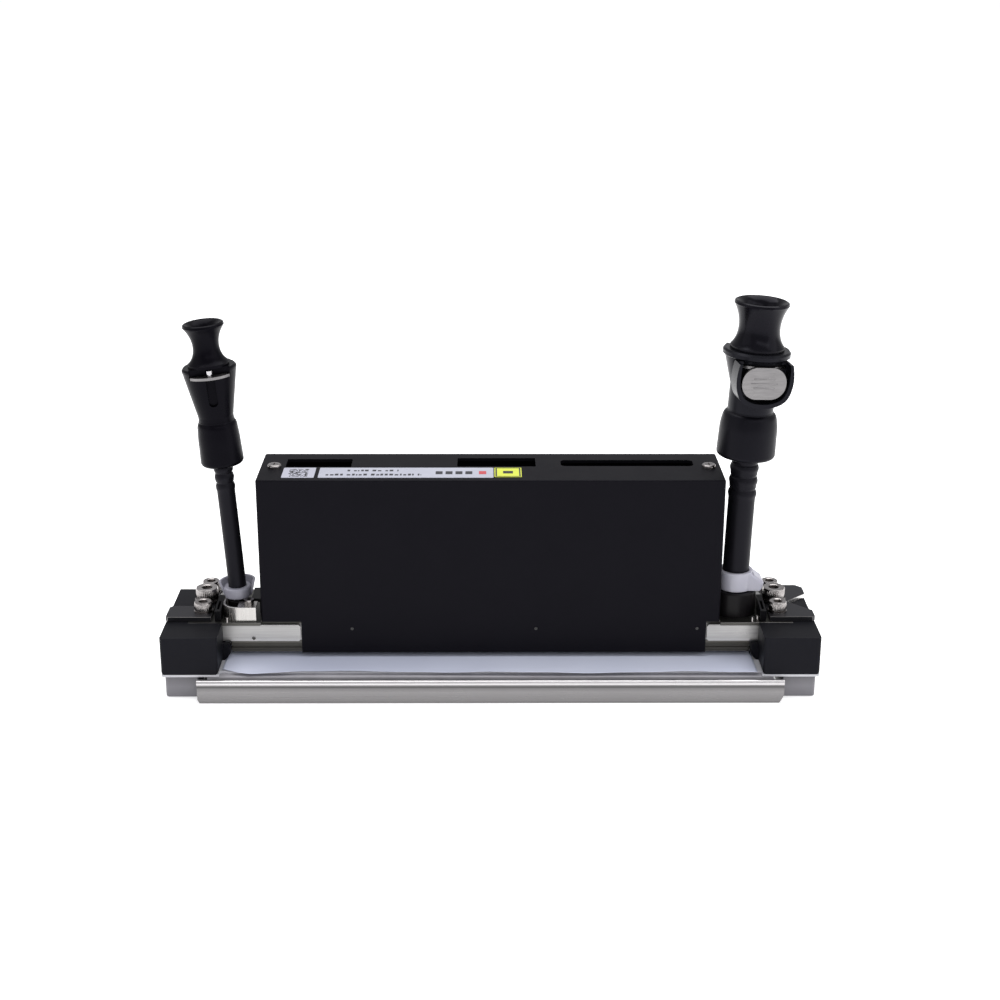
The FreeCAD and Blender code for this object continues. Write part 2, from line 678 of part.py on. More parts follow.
def coupling_body(side):
    d = couplings[side]
    neck, under, collar = d["neck_radius"], d["under_collar_radius"], d["collar_radius"]
    top = d["collar_top"]
    start = d["boot_top"]
    shell = turned((0, start), (neck, start), (neck, d["neck_top"]), (under, d["under_collar"]),
                   (collar, d["under_collar"] + 0.5), (collar, top - 0.6), (collar - 0.5, top), (0, top))
    guard, finger_space = thumb_guard(d)
    body = shell.fuse(guard)
    body = body.cut(post(d["plug_radius"] + sliding_gap, 0, 0, d["plug_bottom"] - 0.8, top + 1))
    body = body.cut(post(d["plug_bore"], 0, 0, start - 1, top))
    body = body.cut(latch_outline(d)).cut(finger_space)
    # The collar is open on the far side, over the lock pin, and a groove runs down from it
    window = d["latch_width"] / 2 + 0.2
    body = body.cut(box(-window, window, d["plug_radius"] + 0.6, 20, d["latch_height"] - 0.15, top + 1))
    groove = box(-1.35, 1.35, neck - 0.5, 20, d["latch_height"] - 8.6, d["latch_height"])
    groove = groove.makeFillet(1.3, edges_along(groove, along_y, lambda p: p.z < d["latch_height"] - 8))
    return in_place(body.cut(groove).removeSplitter(), side)


def latch_plate(side):
    """A flat plate with a long hole round the plug, bent down at the front as the thumb pad."""
    d = couplings[side]
    half, low = d["latch_width"] / 2, d["latch_height"]
    high = low + latch_thickness
    plate = box(-half, half, -20, 20, low, high)
    plate = plate.common(post(d["latch_far"], 0, 0, low, high))
    neck = d["pad_width"] / 2 - d["pad_corner"] + 0.9
    plate = plate.fuse(box(-neck, neck, -d["pad_face"], -d["latch_far"] + 1.2, low, high))
    hole = d["plug_radius"] + 0.25
    far = d["plug_radius"] - latch_bite - hole
    near = 0.15 - latch_stroke
    plate = plate.cut(post(hole, 0, far, low - 1, high + 1))
    plate = plate.cut(post(hole, 0, near, low - 1, high + 1))
    plate = plate.cut(box(-hole, hole, near, far, low - 1, high + 1))
    pad = box(-d["pad_width"] / 2, d["pad_width"] / 2, -d["pad_face"], -d["pad_face"] + 0.9,
              high - d["pad_height"], high)
    pad = pad.makeFillet(d["pad_corner"], edges_along(pad, along_y, lambda p: True))
    return in_place(plate.fuse(pad).removeSplitter(), side)


def lock_pin(side):
    """The stepped pin on the far edge of the latch plate."""
    d = couplings[side]
    y = d["latch_far"] - 1.9
    low = d["latch_height"] + latch_thickness
    pin = post(0.6, 0, y, low, low + 0.7).fuse(post(0.95, 0, y, low + 0.7, low + 1.8))
    return in_place(pin.removeSplitter(), side)


def latch_spring(side):
    """A short coil between the body's neck and the inner face of the thumb pad."""
    d = couplings[side]
    start = -d["neck_radius"] - 0.35
    end = -d["pad_face"] + 0.95
    height = d["latch_height"] - d["pad_height"] * 0.42
    turns = []
    count = 4
    pitch = (start - end - 0.4) / (count - 1)
    for i in range(count):
        coil = Part.makeTorus(1.5, 0.2, Vector(0, end + 0.2 + pitch * i, height), along_y)
        turns.append(coil)
    spine = box(-0.12, 0.12, end + 0.2, start - 0.2, height + 1.38, height + 1.62)
    coil = turns[0]
    for turn in turns[1:]:
        coil = coil.fuse(turn)
    return in_place(coil.fuse(spine), side)


def sealing_plug(side):
    """A trumpet-shaped plug: a grooved spigot below, a skirt that rests on the collar, a waist and a disc."""
    d = couplings[side]
    r, bottom, rest, top = d["plug_radius"], d["plug_bottom"], d["collar_top"], d["plug_top"]
    low = d["latch_height"] - 0.1
    floor = r - groove_depth
    skirt, waist, disc = d["plug_skirt"], d["plug_waist"], d["plug_disc"]
    height = top - rest
    cup = waist - 1.2
    plug = turned((0, bottom), (r - 0.5, bottom), (r, bottom + 0.5), (r, bottom + 1.5), (r - 1.25, bottom + 1.5),
                  (r - 1.25, bottom + 3.1), (r, bottom + 3.1), (r, low - 2.7), (floor, low - 1.0),
                  (floor, low + 1.0), (r, low + 1.0), (r, rest + 0.05), (skirt, rest + 0.05),
                  (skirt, rest + 0.9),
                  [(skirt - 0.55 * (skirt - waist), rest + 0.17 * height), (waist, rest + 0.42 * height),
                   (waist + 0.25 * (disc - waist), rest + 0.7 * height), (disc - 0.25, top - 1.3)],
                  (disc, top - 0.9), (disc - 0.15, top - 0.25), (disc - 0.6, top),
                  [(cup + 0.35 * (disc - cup), top - 0.9), (cup, top - 3.4)], (0, top - 3.9))
    return in_place(plug, side)


def plug_seal(side):
    """The O-ring in the plug's lower groove."""
    d = couplings[side]
    section = 0.62
    centre = d["plug_radius"] + sliding_gap - 0.02 - section
    ring = Part.makeTorus(centre, section, Vector(0, 0, d["plug_bottom"] + 2.3), along_z)
    return in_place(ring, side)


def main():
    os.makedirs("parts", exist_ok=True)
    save("base_tray", base_tray())
    save("tray_pad", tray_pad())
    save("base_plate", base_plate())
    save("protective_film", protective_film())
    save("plinth_right", plinth())
    save("plinth_left", mirrored(plinth()))
    save("nozzle_plate", stack_layer(stack_bottom, stack_bottom + 0.3, 0.8))
    save("cavity_plates", cavity_plates())
    save("manifold_plate", manifold_plate())
    save("head_frame", head_frame())
    save("head_flange", head_flange())
    save("flex_circuits", flex_circuits())
    save("driver_board_front", driver_board(-4.2, -2.6))
    save("driver_board_rear", driver_board(9.4, 11.0))
    save("driver_chips", driver_chips())
    save("board_connectors", board_connectors())
    save("heat_spreader", heat_spreader())
    save("posts_and_spacers", posts_and_spacers())
    save("top_cover", top_cover())
    save("cover_screws", cover_screws())
    save("flap_pins", flap_pins())
    save("top_label", label(-52.0, 0.8, -10.9, -1.4))
    save("code_label", label(-63.0, -53.2, -10.9, -1.4))
    save("yellow_label", label(1.1, 9.3, -10.2, -1.4))
    save("end_block_right", end_block())
    save("end_block_left", mirrored(end_block()))
    save("ear_plate_right", ear_plate_right())
    save("ear_plate_left", ear_plate_left())
    save("ear_screws_small", ear_screws_small())
    save("ear_screws_large", ear_screws_large())
    save("ear_washers", ear_washers())
    save("fitting_base_left", fitting_base("left", 3.4, 24.7))
    save("fitting_base_right", fitting_base("right", 6.6, 28.0))
    save("fitting_guard_left", fitting_guard_left())
    save("fitting_tab_left", fitting_tab_left())
    save("fitting_fasteners", fitting_fasteners())
    save("hose_clip_left", hose_clip_left())
    save("hose_clip_right", hose_clip_right())
    for side in ("left", "right"):
        save("fitting_bracket_" + side, fitting_bracket(side))
        save("ink_nipple_" + side, ink_nipple(side))
        save("hose_" + side, hose(side))
        save("coupling_barb_" + side, coupling_barb(side))
        save("coupling_boot_" + side, coupling_boot(side))
        save("coupling_body_" + side, coupling_body(side))
        save("latch_plate_" + side, latch_plate(side))
        save("lock_pin_" + side, lock_pin(side))
        save("latch_spring_" + side, latch_spring(side))
        save("sealing_plug_" + side, sealing_plug(side))
        save("plug_seal_" + side, plug_seal(side))


main()
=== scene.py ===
import json
import math
import random

import bmesh
import bpy
from mathutils import Matrix, Vector


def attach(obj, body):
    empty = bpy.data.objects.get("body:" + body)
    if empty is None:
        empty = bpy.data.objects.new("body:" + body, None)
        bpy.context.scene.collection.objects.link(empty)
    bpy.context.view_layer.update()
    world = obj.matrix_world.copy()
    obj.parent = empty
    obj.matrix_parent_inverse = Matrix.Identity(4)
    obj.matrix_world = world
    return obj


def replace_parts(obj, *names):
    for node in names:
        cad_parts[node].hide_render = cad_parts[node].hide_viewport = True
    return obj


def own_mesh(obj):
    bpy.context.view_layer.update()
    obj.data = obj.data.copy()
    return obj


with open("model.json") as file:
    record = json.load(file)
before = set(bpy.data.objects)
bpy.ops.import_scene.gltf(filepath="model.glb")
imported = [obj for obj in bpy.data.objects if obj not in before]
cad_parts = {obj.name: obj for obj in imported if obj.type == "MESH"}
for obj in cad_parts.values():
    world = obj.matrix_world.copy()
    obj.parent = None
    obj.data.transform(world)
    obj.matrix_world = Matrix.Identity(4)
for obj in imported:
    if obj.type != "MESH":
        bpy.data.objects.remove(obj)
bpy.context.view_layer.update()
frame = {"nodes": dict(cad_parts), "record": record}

cadNodes = frame["nodes"]
mm = 0.001
sides = ("left", "right")
scene = bpy.context.scene


# camera (the lights and floor are made under studio)

cameraSetup = {
    "place": (-1.354, -500.57, 230.87), "tilt": 70.679, "roll": -0.1345, "heading": -0.4335, "lens": 61.96,
    "sensor": 36, "near": 0.01, "far": 20,
}


def makeCamera(setup):
    data = bpy.data.cameras.new("camera")
    data.lens = setup["lens"]
    data.sensor_width = setup["sensor"]
    data.clip_start = setup["near"]
    data.clip_end = setup["far"]
    camera = bpy.data.objects.new("camera", data)
    camera.location = Vector(setup["place"]) * mm
    camera.rotation_mode = "XYZ"
    camera.rotation_euler = [math.radians(setup[key]) for key in ("tilt", "roll", "heading")]
    scene.collection.objects.link(camera)
    scene.camera = camera


makeCamera(cameraSetup)
print("camera ready")


# hoses

hoses = {
    "left": {
        "points": [(-78.47, -4, 25.0), (-80.2, -4, 54.0), (-81.62, -4, 73.4)],
        "radius": 2.75, "bore": 1.9, "length": 0.0485, "ridges": [36.3, 39.4, 42.2], "swell": 0.22,
    },
    "right": {
        "points": [(75.95, -4, 28.2), (76.55, -4, 57.0), (77.6, -4, 78.6)],
        "radius": 4.1, "bore": 2.8, "length": 0.0504, "ridges": [31.0, 35.2, 39.2], "swell": 0.30,
    },
}


hoseMesh = {"around": 48, "fineness": 150}
swelling = {"width": 0.9, "grooveAt": 1.5, "grooveWidth": 0.35, "grooveShare": 0.8}


def addPiece(name, bm, finishList, body, smoothAngle=35):
    mesh = bpy.data.meshes.new(name)
    bmesh.ops.recalc_face_normals(bm, faces=bm.faces)
    bm.to_mesh(mesh)
    bm.free()
    for finish in finishList:
        mesh.materials.append(finish)
    if smoothAngle:
        mesh.shade_smooth()
        mesh.set_sharp_from_angle(angle=math.radians(smoothAngle))
    piece = bpy.data.objects.new(name, mesh)
    scene.collection.objects.link(piece)
    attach(piece, body)
    return piece


def routeLine(name, points):
    curve = bpy.data.curves.new(name, "CURVE")
    curve.dimensions = "3D"
    spline = curve.splines.new("NURBS")
    spline.points.add(len(points) - 1)
    for slot, point in zip(spline.points, points):
        slot.co = (*(Vector(point) * mm), 1)
    spline.order_u = 3
    spline.use_endpoint_u = True
    spline.resolution_u = hoseMesh["fineness"]
    holder = bpy.data.objects.new(name, curve)
    scene.collection.objects.link(holder)
    bpy.context.view_layer.update()
    line = bpy.data.meshes.new_from_object(holder)
    path = [v.co.copy() for v in line.vertices]
    bpy.data.objects.remove(holder)
    return path


def hoseRadius(setup, distance):
    # three moulded swellings under the boot, with a narrow groove above each
    radius = setup["radius"] * mm
    for place in setup["ridges"]:
        offset = distance / mm - place
        swell = setup["swell"] * mm
        radius += swell * math.exp(-(offset / swelling["width"]) ** 2)
        groove = math.exp(-((offset - swelling["grooveAt"]) / swelling["grooveWidth"]) ** 2)
        radius -= swelling["grooveShare"] * swell * groove
    return radius


def makeHose(side):
    setup = hoses[side]
    path = routeLine("route_" + side, setup["points"])
    bm = bmesh.new()
    count = hoseMesh["around"]
    distance = 0.0
    outer, inner = [], []
    for i, point in enumerate(path):
        if i:
            distance += (point - path[i - 1]).length
        along = (path[min(i + 1, len(path) - 1)] - path[max(i - 1, 0)]).normalized()
        across = Vector((0, 1, 0)).cross(along).normalized()
        depth = along.cross(across)
        for rings, radius in ((outer, hoseRadius(setup, distance)), (inner, setup["bore"] * mm)):
            ring = []
            for k in range(count):
                angle = 2 * math.pi * k / count
                offset = across * math.cos(angle) + depth * math.sin(angle)
                ring.append(bm.verts.new(point + offset * radius))
            rings.append(ring)
    for rings in (outer, inner):
        for low, high in zip(rings, rings[1:]):
            for k in range(count):
                bm.faces.new((low[k], low[k - 1], high[k - 1], high[k]))
    for end in (0, -1):
        for k in range(count):
            bm.faces.new((outer[end][k], outer[end][k - 1], inner[end][k - 1], inner[end][k]))
    tube = addPiece("hoseTube_" + side, bm, [finishes["hose_rubber"]], "head", 50)
    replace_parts(tube, "hose_" + side)


# finishes

def newFinish(name):
    finish = bpy.data.materials.new(name)
    finish.use_nodes = True
    tree = finish.node_tree
    return finish, tree, tree.nodes["Principled BSDF"]


def setInputs(node, **values):
    for key, value in values.items():
        node.inputs[key.replace("_", " ")].default_value = value


def stretchedNoise(tree, scale, detail=4.0, stretch=(1, 1, 1), rough=0.55):
    coords = tree.nodes.new("ShaderNodeTexCoord")
    mapping = tree.nodes.new("ShaderNodeMapping")
    mapping.inputs["Scale"].default_value = stretch
    noise = tree.nodes.new("ShaderNodeTexNoise")
    setInputs(noise, Scale=scale, Detail=detail, Roughness=rough)
    tree.links.new(coords.outputs["Object"], mapping.inputs["Vector"])
    tree.links.new(mapping.outputs["Vector"], noise.inputs["Vector"])
    return noise.outputs["Fac"]


def spread(tree, value, low, high, fromLow=0.3, fromHigh=0.7):
    node = tree.nodes.new("ShaderNodeMapRange")
    for key, number in zip(("From Min", "From Max", "To Min", "To Max"), (fromLow, fromHigh, low, high)):
        node.inputs[key].default_value = number
    tree.links.new(value, node.inputs["Value"])
    return node.outputs["Result"]


def blendColours(tree, value, low, high, fromLow=0.3, fromHigh=0.7):
    ramp = tree.nodes.new("ShaderNodeValToRGB")
    ramp.color_ramp.elements[0].position = fromLow
    ramp.color_ramp.elements[0].color = (*low, 1)
    ramp.color_ramp.elements[1].position = fromHigh
    ramp.color_ramp.elements[1].color = (*high, 1)
    tree.links.new(value, ramp.inputs["Fac"])
    return ramp.outputs["Color"]


def addBump(tree, shader, value, strength, depth):
    bump = tree.nodes.new("ShaderNodeBump")
    setInputs(bump, Strength=strength, Distance=depth)
    tree.links.new(value, bump.inputs["Height"])
    tree.links.new(bump.outputs["Normal"], shader.inputs["Normal"])


def metalFinish(name, dark, light, rough, grain=(1, 60, 60), scale=60, bump=0.25, smudge=0.06):
    finish, tree, shader = newFinish(name)
    lines = stretchedNoise(tree, scale, 5, grain)
    patches = stretchedNoise(tree, 70, 3)
    tree.links.new(blendColours(tree, lines, dark, light), shader.inputs["Base Color"])
    lineRough = spread(tree, lines, rough - 0.06, rough + 0.06)
    patchRough = spread(tree, patches, -smudge, smudge)
    total = tree.nodes.new("ShaderNodeMath")
    tree.links.new(lineRough, total.inputs[0])
    tree.links.new(patchRough, total.inputs[1])
    tree.links.new(total.outputs["Value"], shader.inputs["Roughness"])
    addBump(tree, shader, lines, bump, 0.00002)
    setInputs(shader, Metallic=1.0)
    return finish


def plasticFinish(name, dark, light, rough, grainScale=2500, bump=0.15, depth=0.00003, spec=0.5, swing=0.07,
                  patchScale=90, tint=(1, 1, 1)):
    finish, tree, shader = newFinish(name)
    grain = stretchedNoise(tree, grainScale, 3)
    patches = stretchedNoise(tree, patchScale, 4 if patchScale > 50 else 1)
    tree.links.new(blendColours(tree, patches, dark, light, 0.2, 0.8), shader.inputs["Base Color"])
    tree.links.new(spread(tree, patches, rough - swing, rough + swing, 0.2, 0.8), shader.inputs["Roughness"])
    addBump(tree, shader, grain, bump, depth)
    setInputs(shader, Specular_IOR_Level=spec, Specular_Tint=(*tint, 1))
    return finish


def paintLightBandsByHeight(tree, colour, stops):
    # painted highlights and painted shade in bands along the height, standing in for reflections of the
    # studio, laid over a colour; stops are (mm, share)
    coords = tree.nodes.new("ShaderNodeTexCoord")
    parts = tree.nodes.new("ShaderNodeSeparateXYZ")
    tree.links.new(coords.outputs["Object"], parts.inputs["Vector"])
    low, high = stops[0][0], stops[-1][0]
    level = spread(tree, parts.outputs["Z"], 0, 1, low * mm, high * mm)
    ramp = tree.nodes.new("ShaderNodeValToRGB")
    elements = ramp.color_ramp.elements
    while len(elements) < len(stops):
        elements.new(0.5)
    for element, (height, share) in zip(elements, stops):
        element.position = (height - low) / (high - low)
        element.color = (share, share, share, 1)
    tree.links.new(level, ramp.inputs["Fac"])
    mix = tree.nodes.new("ShaderNodeMix")
    mix.data_type = "RGBA"
    mix.blend_type = "MULTIPLY"
    mix.inputs["Factor"].default_value = 1.0
    tree.links.new(colour, mix.inputs["A"])
    tree.links.new(ramp.outputs["Color"], mix.inputs["B"])
    return mix.outputs["Result"]


def paintLightBands(finish, stops):
    # an existing finish gets painted highlight and painted shade bands along its height
    tree = finish.node_tree
    shader = tree.nodes["Principled BSDF"]
    colour = shader.inputs["Base Color"].links[0].from_socket
    tree.links.new(paintLightBandsByHeight(tree, colour, stops), shader.inputs["Base Color"])
    return finish


# the blacks carry a cool violet sheen
violet = (0.86, 0.84, 1.0)

finishes = {
    # tray: a painted highlight along the rolled lip, a painted dark reflection line under it, and the wall
    # painted darker towards the floor
    "tray_steel": paintLightBands(
        metalFinish("traySteel", (0.51, 0.495, 0.50), (0.56, 0.545, 0.55), 0.30, (1, 90, 90), 55, 0.10, 0.04),
        [(0, 0.26), (0.5, 0.34), (1.6, 0.37), (3.6, 0.42), (4.7, 0.32), (5.35, 0.13), (5.75, 0.40),
         (6.15, 1.1), (7.6, 1.0)]),
    "pad_foam": plasticFinish("padFoam", (0.26, 0.255, 0.275), (0.40, 0.39, 0.415), 0.7, 1200, 0.4),
    "plate_white": plasticFinish("plateWhite", (0.44, 0.44, 0.47), (0.52, 0.52, 0.55), 0.45),
    "film": plasticFinish("film", (0.50, 0.53, 0.66), (0.60, 0.63, 0.75), 0.40, 900, 0.05, patchScale=25),
    # plinths: painted shade, darker towards their top and a little towards their foot
    "plinth_grey": paintLightBands(plasticFinish("plinthGrey", (0.14, 0.136, 0.152), (0.185, 0.18, 0.197), 0.35),
                              [(0, 0.85), (3.5, 1.0), (7.1, 0.55)]),
    "stack_olive": metalFinish("stackOlive", (0.045, 0.042, 0.036), (0.12, 0.115, 0.10), 0.45,
                               (0.6, 1, 900), 2),
    "stack_edge": metalFinish("stackEdge", (0.06, 0.057, 0.05), (0.19, 0.18, 0.155), 0.4, (0.6, 1, 900), 2),
    "nozzle_steel": metalFinish("nozzleSteel", (0.40, 0.38, 0.34), (0.50, 0.48, 0.44), 0.3),
    # frame: a painted highlight along its lower edge and painted shade at its top edge
    "frame_steel": paintLightBands(metalFinish("frameSteel", (0.29, 0.285, 0.285), (0.38, 0.375, 0.37), 0.36),
                              [(13.9, 1.3), (14.5, 1.15), (14.9, 1.0), (18.6, 1.0), (19.3, 0.75)]),
    "flange_dark": metalFinish("flangeDark", (0.06, 0.058, 0.055), (0.10, 0.098, 0.09), 0.42),
    "flex_amber": plasticFinish("flexAmber", (0.30, 0.13, 0.02), (0.42, 0.20, 0.03), 0.3),
    "board_green": plasticFinish("boardGreen", (0.01, 0.07, 0.03), (0.02, 0.10, 0.05), 0.35),
    "chip_black": plasticFinish("chipBlack", (0.012, 0.012, 0.013), (0.02, 0.02, 0.02), 0.5),
    "connector_black": plasticFinish("connectorBlack", (0.006, 0.006, 0.008), (0.010, 0.010, 0.012), 0.5,
                                     spec=0.2),
    "spreader_aluminium": metalFinish("spreaderAluminium", (0.35, 0.36, 0.38), (0.50, 0.51, 0.53), 0.35),
    "post_steel": metalFinish("postSteel", (0.4, 0.4, 0.4), (0.52, 0.51, 0.50), 0.3),
    "cover_black": plasticFinish("coverBlack", (0.0023, 0.0021, 0.0033), (0.0038, 0.0035, 0.0050), 0.50,
                                 3500, 0.25, spec=0.080, swing=0.05, tint=violet),
    "screw_steel": metalFinish("screwSteel", (0.27, 0.25, 0.245), (0.44, 0.42, 0.41), 0.22, (1, 1, 30)),
    "label_silver": plasticFinish("labelSilver", (0.39, 0.40, 0.47), (0.45, 0.46, 0.53), 0.3, bump=0.05),
    "label_white": plasticFinish("labelWhite", (0.41, 0.415, 0.49), (0.46, 0.465, 0.54), 0.35, bump=0.05),
    "label_yellow": plasticFinish("labelYellow", (0.58, 0.64, 0.045), (0.64, 0.70, 0.06), 0.35, bump=0.05),
    "block_black": plasticFinish("blockBlack", (0.0040, 0.0042, 0.0055), (0.0068, 0.0070, 0.0088), 0.48,
                                 3000, 0.3, spec=0.095, tint=violet),
    "ear_dark": plasticFinish("earDark", (0.0070, 0.0070, 0.0085), (0.0125, 0.0125, 0.014), 0.34, 1800, 0.12,
                              spec=0.21, tint=violet),
    "fitting_black": plasticFinish("fittingBlack", (0.004, 0.0034, 0.0042), (0.008, 0.0072, 0.0080), 0.34,
                                   spec=0.12),
    "guard_steel": metalFinish("guardSteel", (0.40, 0.388, 0.375), (0.53, 0.515, 0.495), 0.28,
                               (60, 60, 1), 30),
    "bracket_black": plasticFinish("bracketBlack", (0.0030, 0.0029, 0.0038), (0.0058, 0.0056, 0.0066), 0.34,
                                   spec=0.09),
    "nipple_steel": metalFinish("nippleSteel", (0.4, 0.4, 0.4), (0.5, 0.5, 0.5), 0.3),
    "hose_rubber": plasticFinish("hoseRubber", (0.0040, 0.0038, 0.0052), (0.0072, 0.0070, 0.0090), 0.42,
                                 2500, 0.2, spec=0.12, tint=violet),
    "clip_nylon": plasticFinish("clipNylon", (0.36, 0.355, 0.42), (0.46, 0.455, 0.51), 0.38, 1500, 0.1),
    "boot_black": plasticFinish("bootBlack", (0.0024, 0.0023, 0.0036), (0.0044, 0.0043, 0.0060), 0.36,
                                1800, 0.12, spec=0.10, tint=violet),
    "body_black": plasticFinish("bodyBlack", (0.0028, 0.0030, 0.0042), (0.0050, 0.0052, 0.0070), 0.28,
                                1500, 0.10, spec=0.14, tint=violet),
    "latch_steel": metalFinish("latchSteel", (0.18, 0.174, 0.176), (0.24, 0.232, 0.234), 0.32,
                               (1, 40, 40), 40, 0.1),
    "pin_steel": metalFinish("pinSteel", (0.42, 0.41, 0.42), (0.54, 0.53, 0.54), 0.15),
    "spring_steel": metalFinish("springSteel", (0.4, 0.4, 0.4), (0.5, 0.5, 0.5), 0.25),
    "plug_black": plasticFinish("plugBlack", (0.0018, 0.0017, 0.0028), (0.0036, 0.0034, 0.0050), 0.22,
                                1200, 0.06, spec=0.12, tint=violet),
    "seal_rubber": plasticFinish("sealRubber", (0.010, 0.010, 0.010), (0.014, 0.014, 0.014), 0.6),
}
# finishes that no slot has as its own: worn edges, inks, contacts, and darker copies of the coupling black
# and of the clip nylon that paint shade onto the left coupling and the left clip
extraFinishes = {
    "cutEdge": metalFinish("cutEdge", (0.55, 0.54, 0.53), (0.72, 0.71, 0.70), 0.25, (1, 1, 40), 40),
    "wornEar": metalFinish("wornEar", (0.12, 0.115, 0.115), (0.26, 0.25, 0.245), 0.34),
    # painted shade: a darker copy of the coupling black, for the left coupling, which lies in shade
    "paintedShadeBlack": plasticFinish("paintedShadeBlack", (0.0012, 0.0010, 0.0020), (0.0026, 0.0023, 0.0038), 0.30,
                               1500, 0.08, spec=0.06, tint=violet),
    # painted shade: a darker copy of the clip nylon, for the left clip, which lies in shade
    "paintedShadeClip": plasticFinish("paintedShadeClip", (0.25, 0.247, 0.30), (0.33, 0.327, 0.375), 0.38, 1500, 0.1),
    "wornBlack": plasticFinish("wornBlack", (0.012, 0.012, 0.014), (0.026, 0.026, 0.030), 0.38, 1500, 0.2),
    "inkBlack": plasticFinish("inkBlack", (0.012, 0.012, 0.016), (0.022, 0.022, 0.028), 0.5, bump=0.03),
    "inkRed": plasticFinish("inkRed", (0.45, 0.05, 0.06), (0.52, 0.07, 0.08), 0.5, bump=0.03),
    "gold": metalFinish("contactGold", (0.55, 0.38, 0.12), (0.70, 0.50, 0.18), 0.28),
    "pinDark": metalFinish("pinDark", (0.03, 0.03, 0.03), (0.07, 0.07, 0.07), 0.35),
}
setInputs(finishes["clip_nylon"].node_tree.nodes["Principled BSDF"], Subsurface_Weight=0.35,
          Subsurface_Radius=(1, 1, 1.1), Subsurface_Scale=0.0015)

for part in frame["record"]["subparts"]:
    owner = cadNodes[part["node"]]
    owner.data.materials.clear()
    owner.data.materials.append(finishes[part["material_slot"]])

# the flap pins get their own dark metal; the left clip and the left coupling get darker copies of their
# finishes as painted shade
ownLooksAndPaintedShade = {
    "flap_pins": "pinDark", "hose_clip_left": "paintedShadeClip", "sealing_plug_left": "paintedShadeBlack",
    "coupling_boot_left": "paintedShadeBlack", "coupling_body_left": "paintedShadeBlack",
}
for node, look in ownLooksAndPaintedShade.items():
    cadNodes[node].data.materials[0] = extraFinishes[look]
print("finishes ready")


# thumb latches: grip lines pressed into the pads, and a conical spring behind each

latches = {
    "left": {
        "base": (-81.1, -4, 67.4), "turn": 189.0, "tilt": -5.0,
        "face": 8.7, "top": 30.0, "pad": 8.0, "half": 2.9,
        "spring": {"height": 25.84, "near": 5.62, "far": 7.72, "wide": 1.7, "narrow": 0.8},
    },
    "right": {
        "base": (77.0, -4, 68.6), "turn": 8.0, "tilt": 3.3,
        "face": 10.5, "top": 32.7, "pad": 9.6, "half": 3.8,
        "spring": {"height": 27.87, "near": 7.22, "far": 9.52, "wide": 2.1, "narrow": 1.0},
    },
}
gripLines = {
    "lines": ((1.35, 0.8), (0.0, 1.0), (-1.35, 0.8)),  # lift from the pad's middle, share of its half width
    "profile": [(-0.26, 0.0), (-0.14, 0.13), (0.14, 0.13), (0.26, 0.0)],
    "taper": 0.2, "endScale": 0.3, "sunk": 0.02,
}
springWire = {"turns": 3, "perTurn": 40, "radius": 0.11, "around": 8, "seatGap": 0.05, "folded": 0.02}


def couplingAxes(setup):
    place = Matrix.Translation(Vector(setup["base"]) * mm)
    lean = Matrix.Rotation(math.radians(setup["tilt"]), 4, "Y")
    return place @ lean @ Matrix.Rotation(math.radians(setup["turn"]), 4, "Z")


def makeGrip(side):
    setup = latches[side]
    bm = bmesh.new()
    middle = setup["top"] - setup["pad"] * 0.5
    taper, endScale, sunk = gripLines["taper"], gripLines["endScale"], gripLines["sunk"]
    for lift, half in gripLines["lines"]:
        z = middle + lift
        reach = setup["half"] * half
        rings = []
        for x, scale in ((-reach - taper, endScale), (-reach, 1.0), (reach, 1.0), (reach + taper, endScale)):
            ring = [bm.verts.new((x * mm, -(setup["face"] + out * scale - sunk) * mm, (z + up * scale) * mm))
                    for up, out in gripLines["profile"]]
            rings.append(ring)
        for a, b in zip(rings, rings[1:]):
            for k in range(len(a)):
                bm.faces.new((a[k - 1], a[k], b[k], b[k - 1]))
        bm.faces.new(rings[0])
        bm.faces.new(rings[-1])
    bmesh.ops.transform(bm, matrix=couplingAxes(setup), verts=bm.verts)
    addPiece("pad_grip_" + side, bm, [finishes["latch_steel"]], "latch_" + side, 60)


def makeSpring(side):
    # a cone of wire, wide towards the coupling's axis and narrow towards the pad
    setup = latches[side]["spring"]
    wire, around, perTurn = springWire["radius"], springWire["around"], springWire["perTurn"]
    total = springWire["turns"] * perTurn
    bm = bmesh.new()
    rings = []
    for i in range(total + 1):
        share = i / total
        angle = 2 * math.pi * i / perTurn
        radius = setup["wide"] + (setup["narrow"] - setup["wide"]) * share
        depth = setup["near"] + wire + (setup["far"] - setup["near"] - 2 * wire) * share
        ring = []
        for k in range(around):
            turn = 2 * math.pi * k / around
            reach = radius + wire * math.cos(turn)
            ring.append(bm.verts.new((reach * math.cos(angle) * mm, -(depth + wire * math.sin(turn)) * mm,
                                      (setup["height"] + reach * math.sin(angle)) * mm)))
        rings.append(ring)
    for a, b in zip(rings, rings[1:]):
        for k in range(around):
            bm.faces.new((a[k - 1], a[k], b[k], b[k - 1]))
    bm.faces.new(rings[0])
    bm.faces.new(rings[-1])
    frameOf = couplingAxes(latches[side])
    bmesh.ops.transform(bm, matrix=frameOf, verts=bm.verts)
    spring = addPiece("latchSpring_" + side, bm, [finishes["spring_steel"]], "head", 60)
    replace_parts(spring, "latch_spring_" + side)
    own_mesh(spring)


for side in sides:
    makeGrip(side)
    makeSpring(side)
print("latches ready")

for side in sides:
    makeHose(side)
print("hoses ready")


# machined and moulded parts get broken edges, a little lighter where handling has worn them

